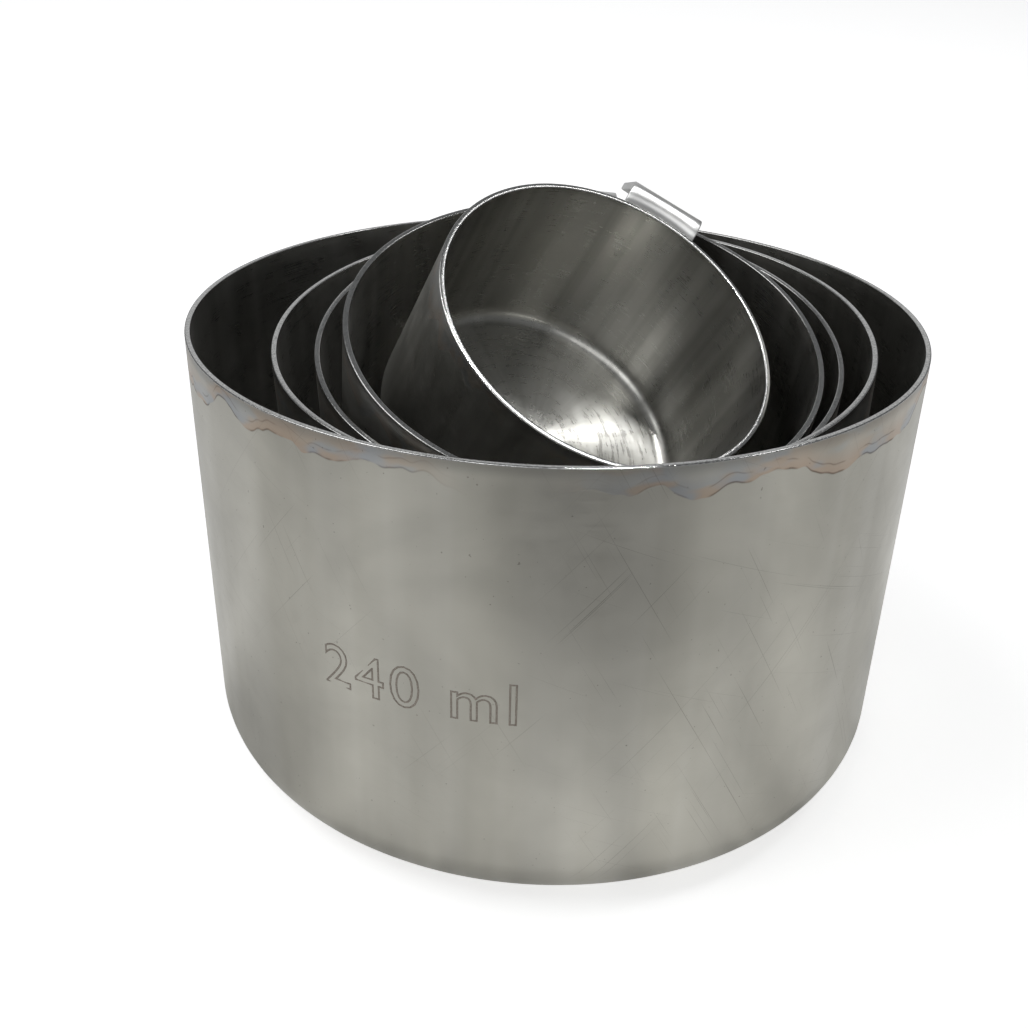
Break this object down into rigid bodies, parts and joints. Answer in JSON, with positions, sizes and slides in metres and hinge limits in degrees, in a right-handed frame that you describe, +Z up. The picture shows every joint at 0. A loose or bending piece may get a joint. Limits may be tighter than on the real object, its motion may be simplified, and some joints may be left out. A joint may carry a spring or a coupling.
{
  "type": "measuring cup set",
  "caption": "Nest of round steel measuring cups with flat welded strip handles, standing on the largest cup; each smaller cup leans inside the next and lifts out.",
  "frame": {"origin": "centre of the underside of the largest cup's floor", "axes": "+Z up along the largest cup's axis; +Y along the largest cup's handle; the smaller cups lean towards -Y"},
  "size_m": [0.08, 0.1557, 0.0627],
  "materials": {
    "one_cup_bowl": "satin brushed",
    "one_cup_handle": "brushed strip, softly polished",
    "half_cup_bowl": "satin brushed",
    "half_cup_handle": "brushed strip, softly polished",
    "third_cup_bowl": "satin brushed",
    "third_cup_handle": "brushed strip, softly polished",
    "quarter_cup_bowl": "satin brushed",
    "quarter_cup_handle": "brushed strip, softly polished",
    "eighth_cup_bowl": "satin brushed",
    "eighth_cup_handle": "brushed strip, softly polished"
  },
  "bodies": {
    "one_cup": {"one_cup_bowl": "one_cup_bowl", "one_cup_handle": "one_cup_handle"},
    "half_cup": {"half_cup_bowl": "half_cup_bowl", "half_cup_handle": "half_cup_handle"},
    "third_cup": {"third_cup_bowl": "third_cup_bowl", "third_cup_handle": "third_cup_handle"},
    "quarter_cup": {"quarter_cup_bowl": "quarter_cup_bowl", "quarter_cup_handle": "quarter_cup_handle"},
    "eighth_cup": {"eighth_cup_bowl": "eighth_cup_bowl", "eighth_cup_handle": "eighth_cup_handle"}
  },
  "joints": [
    {"name": "half_cup_lift", "type": "slide", "parent": "one_cup", "child": "half_cup", "axis": [0, 0, 1], "range_m": [0, 0.052]},
    {"name": "third_cup_lift", "type": "slide", "parent": "half_cup", "child": "third_cup", "axis": [-0.0279, -0.088, 0.9957], "range_m": [0, 0.044]},
    {"name": "quarter_cup_lift", "type": "slide", "parent": "third_cup", "child": "quarter_cup", "axis": [0, -0.1959, 0.9806], "range_m": [0, 0.04]},
    {"name": "eighth_cup_lift", "type": "slide", "parent": "quarter_cup", "child": "eighth_cup", "axis": [0.0884, -0.2892, 0.9532], "range_m": [0, 0.032]}
  ]
}
